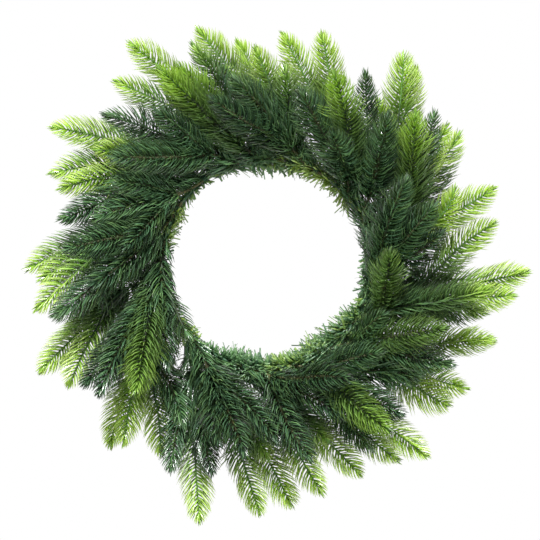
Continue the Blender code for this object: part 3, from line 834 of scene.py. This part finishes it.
def build_spray(node, seed, settings, materials):
    """One spray: its wrapped stem, its twigs and all its needles."""
    rng = np.random.default_rng(seed)
    stem, tips = spray_lines(node)
    stock = Stock()
    corner, size = cells(len(tips) + 1, 0.0, TUBE_SHARE, longer=6.0)
    dark = GROWTHS["dark"]
    trunk = Line(stem + tips[0][:2], roll=rng.normal(0.0, 0.2))
    fork_at = trunk.knots_at[len(stem) - 1]
    add_twig(stock, trunk, 0.0, fork_at + STEM_PAST, STEM_RADII, dark, (corner[0], size), rng, wrapped=True)
    sets = []
    if fork_at > STEM_NEEDLES_FROM + STEM_RUN:
        for rows in ("brush", "fill"):
            sets.append(fan(trunk, STEM_NEEDLES_FROM, fork_at, dark, settings, rng,
                            to_end_from=fork_at + STEM_TO_END, rows=rows))
    for index, (tip, name) in enumerate(zip(tips, SPRAY_TIPS[node])):
        growth, full = GROWTHS[name], TIP_FULLNESS.get((node, index), 1.0)
        line = Line(stem + tip, roll=rng.normal(0.0, 0.22))
        begin = line.knots_at[len(stem) - 1]
        add_twig(stock, line, begin - TWIG_BEFORE, line.length - TWIG_SHORT, TWIG_RADII, growth,
                 (corner[index + 1], size), rng)
        sets.append(fan(line, begin + NEEDLES_FROM, line.length - NEEDLES_SHORT, growth, settings, rng, full))
        inside = line.places[round_hoop(line.points)[0] < FILL_RADIUS]
        fill_to = min(line.length - FILL_SHORT, inside[-1] if len(inside) else 0.0)
        if fill_to > begin + FILL_PAST and growth.rows != "sparse":
            sets.append(fan(line, begin + FILL_FROM, fill_to, growth, settings, rng, full, rows="fill"))
        sets.append(crown(line, growth, settings, rng))
    needles = kept_clear(Needles(*(np.concatenate(column) for column in zip(*sets))), rng)
    figures = {name: getattr(needles, name).repeat(NEEDLE_POINTS) for name in ("growth", "shade", "vivid")}
    reach = np.append(np.repeat(STATIONS, NEEDLE_CORNERS), 1.0)
    stock.add(needle_points(needles, settings.needle_ridge),
              needle_faces(len(needles.root), TUBE_SHARE + 0.01, 1.0), material=0,
              reach=np.outer(needles.pale, reach).ravel(), **figures)
    return stock.piece("fir_" + node, [node], materials, sharp_above=38)


# ---- Tinsel garland

def strip_faces(count, low, high):
    """Faces of that many flat strips, with their bake map places between two heights."""
    sides, bands, rise, stretch = 4, len(STRIP_STOPS) - 1, (0.04, 0.47, 0.51, 0.94, 0.98), 0.42
    last = bands * sides
    shapes = []
    for row in range(bands):
        here, there = row * sides, (row + 1) * sides
        back, on = 0.1 + stretch * row, 0.1 + stretch + stretch * row
        for side in range(sides):
            after, near, far = (side + 1) % sides, rise[side], rise[side + 1]
            shapes.append(((here + side, here + after, there + after, there + side),
                           ((back, near), (back, far), (on, far), (on, near))))
    for corners, left, right in ((range(sides)[::-1], 0.02, 0.06), (range(last, last + sides), 0.96, 0.99)):
        shapes.append((corners, ((left, 0.1), (right, 0.1), (right, 0.9), (left, 0.9))))
    return copies((shapes,), count, last + sides, low, high)


def add_strips(stock, settings, rng, low, high):
    """Cut film strips standing out all round the garland's core."""
    count = settings.strips
    spread = np.linspace(-90.0 + STRIP_GAP / 2, 270.0 - STRIP_GAP / 2, 721)
    crowd = np.cumsum(np.interp(spread % 360, *zip(*GARLAND_CROWD)))
    share = (np.arange(count) + rng.uniform(0, 1, count)) / count
    bearing = np.interp(share, crowd / crowd[-1], spread)
    angle = np.radians(bearing)
    root = ring_place(angle, HOOP_RADIUS, GARLAND_DEPTH)
    around = rng.uniform(0, math.tau, count)
    out = FRONT * np.sin(around)[:, None] - spoke(angle) * np.cos(around)[:, None]
    sweep = swing(bearing[0], bearing[-1], rng, 0.75, 13.0)(bearing)
    lean = (sweep + rng.normal(0.0, 0.42, count)).clip(-1.2, 1.2)
    stray = rng.random(count) < STRAY_STRIPS
    lean = np.where(stray, lean * 0.3, lean)
    out = unit(out * np.cos(lean)[:, None] + spoke(angle + math.pi / 2) * np.sin(lean)[:, None])
    bearings, *courses = zip(*GARLAND_COURSE)
    depth, light, cut = (np.interp(bearing % 360, bearings, course) for course in courses)
    cut = np.where(rng.random(count) < cut, CUT_SHORT, 1.0)
    inner = np.cos(around).clip(0.0)
    outer = settings.strip_length / MM * (1.0 + 0.2 * np.minimum(np.sin(around), 0.0))
    length = cut * (depth * inner + outer * (1.0 - inner)) / np.cos(lean) ** 0.6
    length *= rng.normal(1.0, 0.18, count).clip(0.5, 1.4) * (1.0 + 0.25 * stray)
    width = settings.strip_width / MM * rng.uniform(0.6, 1.3, count)
    broad = unit(np.cross(out, unit(rng.normal(0.0, 1.0, (count, 3)))))
    thin = np.cross(out, broad)
    curl = rng.normal(0.0, 0.26, count)
    skin = thin * STRIP_SKIN
    rings = []
    for stop, wide in zip(STRIP_STOPS, STRIP_WIDTHS):
        centre = root + out * (length * stop)[:, None] + thin * (curl * length * stop ** 2)[:, None]
        edge = broad * (width * wide / 2)[:, None]
        rings += [centre - edge - skin, centre + edge - skin, centre + edge + skin, centre - edge + skin]
    shade = rng.random(count)
    # Brightness of the strips by bearing, partly painted light and shade, with random patches
    bright = light + swing(bearing[0], bearing[-1], rng, 0.16, 7.0)(bearing) + rng.normal(0.0, 0.15, count)
    stock.add(np.stack(rings, axis=1), strip_faces(count, low, high), material=0,
              shade=shade.repeat(len(rings)), growth=bright.clip(0.0, 1.0).repeat(len(rings)),
              reach=np.tile(np.repeat(STRIP_STOPS, 4), count))


def build_garland(settings, materials):
    """The tinsel garland: two core wires twisted together with the strips held between them."""
    stock = Stock()
    rings, sides, high = 1400, 5, 0.05
    for strand in range(2):
        spin = STRAND_TURNS * math.tau * np.linspace(0, 1, rings) + strand * math.pi
        radius = HOOP_RADIUS + STRAND_ASIDE * np.cos(spin)
        depth = GARLAND_DEPTH + STRAND_ASIDE * np.sin(spin)
        cell = ((0.0, high * strand), (1.0, high))
        stock.add(*ring_tube(radius, depth, STRAND_RADIUS, rings, sides, math.radians(CORE_GAP), cell),
                  material=1)
    add_strips(stock, settings, np.random.default_rng(settings.seed), 2 * high + 0.01, 1.0)
    return stock.piece("tinsel_garland_strips", ["tinsel_garland"], materials)


# ---- Hoop and tie wires

def build_hoop(materials):
    """The ring wire: one round hoop, closed at the bottom by a welded lump."""
    rings, sides, gap = 288, 16, math.radians(0.02)
    share = np.linspace(0, 1, rings)
    lump = 0.12 * np.exp(-(np.minimum(share, 1 - share) * rings / 1.8) ** 2)[:, None]
    uneven = np.random.default_rng(HOOP_SEED).normal(0, 0.006, (rings, sides))
    girth = HOOP_WIRE / 2 * (1 + lump) * (1 + uneven)
    stock = Stock()
    stock.add(*ring_tube(HOOP_RADIUS, HOOP_CENTRE[1], girth, rings, sides, gap, ((0, 0), (1, 1))))
    return stock.piece("hoop_ring_wire", ["ring_wire"], materials)


def build_tie(node, seed, materials):
    """A tie wire: a smooth coil pulled round its bundle, its ends twisted together and bent down."""
    rng = np.random.default_rng(seed)
    points, _ = welded(node)
    angle = round_hoop(points.mean(axis=0))[1]
    out, run = spoke(angle), spoke(angle + math.pi / 2)
    flat = np.stack(((points - HOOP_CENTRE) @ out - HOOP_RADIUS, -(points - HOOP_CENTRE)[:, 1]), axis=1)
    rim = flat[convex_hull_2d([Vector(place) for place in flat])]
    inset = rim - unit(rim - rim.mean(axis=0)) * TIE_WIRE / 2
    closed = np.vstack((inset, inset[:1]))
    around = distances(closed)
    per_turn, tail_steps, ring_gap = 26, 22, 0.9
    steps = int(TIE_TURNS * per_turn)
    travel = np.linspace(0, TIE_TURNS, steps)
    place = read_off((travel % 1.0) * around[-1], around, closed) * (1 + rng.normal(0, 0.004, (steps, 1)))
    ahead = (travel - TIE_TURNS / 2)[:, None] * TIE_PITCH
    knots = HOOP_CENTRE + out * (HOOP_RADIUS + place[:, :1]) + FRONT * place[:, 1:] + run * ahead
    tails = []
    for hand in (0, 1):
        spin = np.linspace(0, TAIL_TURNS * math.tau, tail_steps)[:, None] + hand * math.pi
        apart = TAIL_ASIDE * np.minimum(1, np.linspace(0, 4, tail_steps))[:, None]
        drop = np.linspace(0.5, TAIL_LENGTH, tail_steps)[:, None]
        tails.append((knots[0] + knots[-1]) / 2 - FRONT * drop * 0.5 + out * drop * 0.85
                     + run * apart * np.cos(spin) + FRONT * apart * np.sin(spin))
    line = Line(np.vstack((tails[1][::-1], knots, tails[0])), facing=run)
    places = np.linspace(0, line.length, int(line.length / ring_gap))
    stock = Stock()
    stock.add(*line_tube(line, places, TIE_WIRE / 2, 6, ((0, 0), (1, 1))))
    return stock.piece(node + "_coil", [node], materials)


# ---- Stage

def set_sky(settings):
    """Even white light from all round, behind a plain white backdrop."""
    make = Finish(bpy.data.worlds.new("studio"), "ShaderNodeOutputWorld")
    backdrop, light = (
        make.node("ShaderNodeBackground", {}, {"Color": (1.0, 1.0, 1.0, 1.0), "Strength": strength})
        for strength in (1.0, settings.sky))
    seen = make.node("ShaderNodeLightPath", output="Is Camera Ray")
    mix = make.node("ShaderNodeMixShader", {}, {0: seen, 1: light, 2: backdrop})
    bpy.context.scene.world = make.finished(mix)


def lay_floor(settings):
    """A round pale floor well below the wreath."""
    sides = 96
    rim = [(*corner, FLOOR_HEIGHT) for corner in circle(sides) * FLOOR_RADIUS]
    mesh = bpy.data.meshes.new("floor")
    mesh.from_pydata(rim, [], [tuple(range(sides))])
    make = Finish(bpy.data.materials.new("pale_floor"))
    grain = make.noise(6.0, 4.0)
    colour = make.scaled(make.mixed(grain, settings.floor, (1.0, 1.0, 1.0)), 0.92)
    mesh.materials.append(make.finished(make.principled(Base_Color=colour, Roughness=grain * 0.2 + 0.6)))
    floor = placed("floor", mesh)


def soft_light(name, place, size, power):
    """A large soft lamp aimed at the wreath."""
    lamp = bpy.data.lights.new(name, "AREA")
    lamp.shape = "DISK"
    lamp.size = size
    lamp.energy = power
    made = placed(name, lamp)
    made.location = WREATH_MIDDLE + Vector(place)
    made.rotation_euler = (WREATH_MIDDLE - made.location).to_track_quat("-Z", "Y").to_euler()


def set_camera(settings):
    """A long lens straight in front."""
    camera = bpy.data.cameras.new("camera")
    camera.sensor_width = SENSOR
    camera.lens = SENSOR * settings.distance / settings.frame_width
    made = placed("camera", camera)
    made.location = WREATH_MIDDLE - Vector((0.0, settings.distance, 0.0))
    made.rotation_euler = (math.pi / 2, 0.0, 0.0)
    bpy.context.scene.camera = made


# ---- Settings

def colour_of(name, description, *values):
    """A colour setting, its default in everyday 0 to 255 values."""
    return FloatVectorProperty(name=name, description=description, subtype="COLOR", size=3,
                               min=0.0, max=1.0, default=srgb(*values))


def length_of(name, description, metres, least=0.0):
    """A length setting in metres."""
    return FloatProperty(name=name, description=description, default=metres, min=least, unit="LENGTH")


def power_of(name, description, watts):
    """A setting for the power of a light."""
    return FloatProperty(name=name, description=description, default=watts, min=0.0, unit="POWER")


class WreathFirSettings(bpy.types.PropertyGroup):
    """Sizes and colours of the moulded fir sprays."""

    needle_length: length_of("Needle length", "Length of the longest needles", 0.0255)
    needle_width: length_of("Needle width", "Width of a needle at its middle", 0.00122)
    needle_ridge: FloatProperty(name="Needle ridge", description="Height of the ridge on a needle",
                                default=0.95, subtype="FACTOR", min=0.1, max=1.5)
    needle_spacing: length_of("Needle spacing", "Gap between needles along a twig", 0.0036, 0.002)
    seed: IntProperty(name="Seed", description="Start of the random draws", default=7)
    old_needle: colour_of("Old needles", "Lighter old growth", 62, 94, 66)
    # Painted shade for the needle rows behind, as well as darker old needles at random
    old_shadow: colour_of("Old needles, dark", "Darker old growth", 22, 45, 35)
    old_warm: colour_of("Old needles, warm", "Yellower old growth", 74, 100, 52)
    # Paler ends of old needles, partly painted light
    old_end: colour_of("Old needle ends", "Ends of old needles", 100, 138, 98)
    mid_needle: colour_of("Half-grown needles", "Growth between old and new", 104, 148, 62)
    new_needle: colour_of("New needles", "New growth", 184, 222, 76)
    # Paler ends of new needles, partly painted light
    new_end: colour_of("New needle ends", "Ends of new needles", 244, 251, 180)
    vivid_mid: colour_of("Vivid half-grown needles", "Old growth on the front sprays", 72, 104, 46)
    vivid_needle: colour_of("Vivid needles", "New growth on the front sprays", 132, 176, 60)
    # Paler ends of vivid needles, partly painted light
    vivid_end: colour_of("Vivid needle ends", "Ends of vivid needles", 160, 192, 94)
    glow: colour_of("Glow", "Light that comes through a needle", 214, 238, 96)
    tanned: colour_of("Tanned roots", "Brownish needle roots on old growth", 106, 106, 54)
    bark: colour_of("Bark", "Brown of twigs and stems", 92, 88, 44)
    bark_dark: colour_of("Bark, dark", "Dark grain of the bark", 54, 54, 28)
    green_twig: colour_of("Green twigs", "Twigs under new growth", 70, 112, 40)
    dark_twig: colour_of("Dark green twigs", "Green twigs under older growth", 34, 54, 30)


class WreathTinselSettings(bpy.types.PropertyGroup):
    """Sizes and colours of the tinsel garland."""

    strips: IntProperty(name="Strips", description="Number of cut strips", default=7200, min=100)
    strip_length: length_of("Strip length", "From the core to a strip's end", 0.0165)
    strip_width: length_of("Strip width", "Width of a strip", 0.0018)
    seed: IntProperty(name="Seed", description="Start of the random draws", default=11)
    tinsel: colour_of("Tinsel", "Main colour of the film", 104, 150, 94)
    tinsel_dark: colour_of("Tinsel, dark", "Darker strips", 54, 94, 70)
    # Colour of the brighter strips, which are partly painted light
    tinsel_light: colour_of("Tinsel, light", "Brighter patches", 168, 196, 82)
    tinsel_end: colour_of("Strip ends", "Ends of the strips", 118, 146, 104)
    tinsel_glow: colour_of("Glow", "Light that comes through the film", 138, 190, 104)


class WreathWireSettings(bpy.types.PropertyGroup):
    """Colours of the hoop and the tie wires."""

    paint: colour_of("Paint", "Paint on the hoop and ties", 44, 84, 52)
    bare: colour_of("Bare steel", "Steel where the paint has worn", 150, 148, 142)


class WreathStageSettings(bpy.types.PropertyGroup):
    """Light, floor and camera."""

    floor: colour_of("Floor", "Colour of the floor", 236, 235, 231)
    sky: FloatProperty(name="Sky", description="Strength of the even white light", default=0.24)
    key: power_of("Key light", "Power of the main soft light in watts", 79.5)
    fill: power_of("Fill light", "Power of the second soft light in watts", 8.0)
    back: power_of("Back light", "Power of the soft light behind in watts", 14.0)
    distance: length_of("Camera distance", "From the lens to the wreath", 2.0)
    frame_width: length_of("Picture width", "Width seen at the wreath", 0.540)


# ---- Operators

class WREATH_OT_fir_sprays(bpy.types.Operator):
    """Builds the moulded fir sprays of one side over their packed cores"""

    bl_idname = "wreath.fir_sprays"
    bl_label = "Fir sprays"

    side: EnumProperty(name="Side", description="Which sprays to build", items=(
        ("back", "Back", "Sprays tied outside the hoop"), ("front", "Front", "Sprays tied in front")))

    def execute(self, context):
        settings = context.scene.wreath_fir
        if "moulded_fir_needles" in bpy.data.materials:
            materials = [bpy.data.materials[name] for name in ("moulded_fir_needles", "fir_twig")]
        else:
            materials = [fir_finish(settings), twig_finish(settings)]
        for index, node in enumerate(SPRAY_TIPS):
            if node.startswith(self.side):
                build_spray(node, settings.seed * 1000 + index, settings, materials)
        return {"FINISHED"}


class WREATH_OT_tinsel_garland(bpy.types.Operator):
    """Builds the tinsel garland round the back of the hoop"""

    bl_idname = "wreath.tinsel_garland"
    bl_label = "Tinsel garland"

    def execute(self, context):
        settings = context.scene.wreath_tinsel
        film = tinsel_finish(settings)
        build_garland(settings, [film, steel_finish("garland_core_steel", context.scene.wreath_wires)])
        return {"FINISHED"}


class WREATH_OT_hoop(bpy.types.Operator):
    """Builds the painted hoop that carries everything"""

    bl_idname = "wreath.hoop"
    bl_label = "Hoop"

    def execute(self, context):
        build_hoop([steel_finish("painted_hoop_steel", context.scene.wreath_wires)])
        return {"FINISHED"}


class WREATH_OT_tie_wires(bpy.types.Operator):
    """Builds the tie wires that bind the sprays and the garland to the hoop"""

    bl_idname = "wreath.tie_wires"
    bl_label = "Tie wires"

    def execute(self, context):
        finish = steel_finish("painted_tie_steel", context.scene.wreath_wires)
        nodes = sorted(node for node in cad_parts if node.startswith("tie_wire"))
        for index, node in enumerate(nodes):
            build_tie(node, TIE_SEED + index, [finish])
        return {"FINISHED"}


class WREATH_OT_stage(bpy.types.Operator):
    """Sets the floor, the soft studio light and the camera"""

    bl_idname = "wreath.stage"
    bl_label = "Stage"

    def execute(self, context):
        settings = context.scene.wreath_stage
        set_sky(settings)
        lay_floor(settings)
        soft_light("key_light", (-0.25, -1.35, 1.5), 0.45, settings.key)
        soft_light("fill_light", (1.1, -1.3, 0.6), 1.6, settings.fill)
        soft_light("back_light", (-0.5, 0.9, 1.6), 1.6, settings.back)
        set_camera(settings)
        context.scene.view_settings.view_transform = "Standard"
        return {"FINISHED"}


# ---- Panel

class WREATH_PT_panel(bpy.types.Panel):
    """The wreath's pieces and their settings"""

    bl_idname = "WREATH_PT_panel"
    bl_label = "Door Wreath"
    bl_space_type = "VIEW_3D"
    bl_region_type = "UI"
    bl_category = "Wreath"

    def draw(self, context):
        for side in ("back", "front"):
            self.layout.operator("wreath.fir_sprays", text=f"Fir sprays, {side}").side = side
        for operator in ("wreath.tinsel_garland", "wreath.hoop", "wreath.tie_wires", "wreath.stage"):
            self.layout.operator(operator)
        for name, group in SETTINGS.items():
            box = self.layout.box()
            box.label(text=group.__doc__)
            for setting in group.__annotations__:
                box.prop(getattr(context.scene, name), setting)


SETTINGS = {
    "wreath_fir": WreathFirSettings,
    "wreath_tinsel": WreathTinselSettings,
    "wreath_wires": WreathWireSettings,
    "wreath_stage": WreathStageSettings,
}
CLASSES = (*SETTINGS.values(), WREATH_OT_fir_sprays, WREATH_OT_tinsel_garland, WREATH_OT_hoop,
           WREATH_OT_tie_wires, WREATH_OT_stage, WREATH_PT_panel)


def register():
    """Registers the classes and hangs the settings on the scene."""
    for item in CLASSES:
        bpy.utils.register_class(item)
    for name, group in SETTINGS.items():
        setattr(bpy.types.Scene, name, PointerProperty(type=group))


def unregister():
    """Takes the settings and classes away again."""
    for name in SETTINGS:
        delattr(bpy.types.Scene, name)
    for item in reversed(CLASSES):
        bpy.utils.unregister_class(item)


def main():
    """Builds every piece in order, then the stage."""
    register()
    bpy.ops.wreath.hoop()
    bpy.ops.wreath.tinsel_garland()
    bpy.ops.wreath.fir_sprays(side="back")
    bpy.ops.wreath.fir_sprays(side="front")
    bpy.ops.wreath.tie_wires()
    bpy.ops.wreath.stage()


if __name__ == "__main__":
    main()
